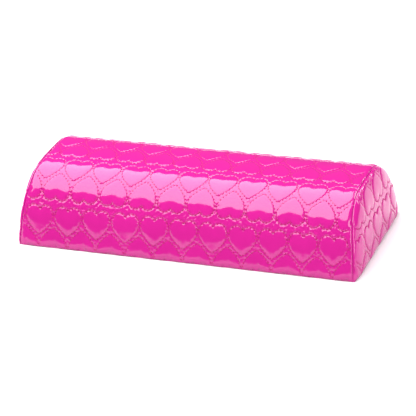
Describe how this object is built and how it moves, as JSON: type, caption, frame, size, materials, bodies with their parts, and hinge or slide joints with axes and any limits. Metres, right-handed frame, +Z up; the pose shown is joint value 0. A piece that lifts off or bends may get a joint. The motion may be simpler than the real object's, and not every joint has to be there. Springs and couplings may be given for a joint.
{
  "type": "manicure hand rest",
  "caption": "Half-round padded hand rest for manicures: a foam block in a glossy heart-quilted vinyl cover with D-shaped end panels and a flat underside.",
  "frame": {"origin": "middle of the flat underside, on the surface that it rests on", "axes": "+X along the length towards the right end, -Y towards the front of the picture, +Z up"},
  "size_m": [0.3, 0.1288, 0.0622],
  "materials": {
    "quilted_patent_vinyl": "high gloss patent, quilted in hearts",
    "plain_vinyl": "semi-gloss, unquilted",
    "polyurethane_foam": "matt, open cell"
  },
  "bodies": {
    "root": {"top_cover": "quilted_patent_vinyl", "end_panel_left": "quilted_patent_vinyl", "end_panel_right": "quilted_patent_vinyl", "base_panel": "plain_vinyl", "foam_core": "polyurethane_foam"}
  },
  "joints": []
}
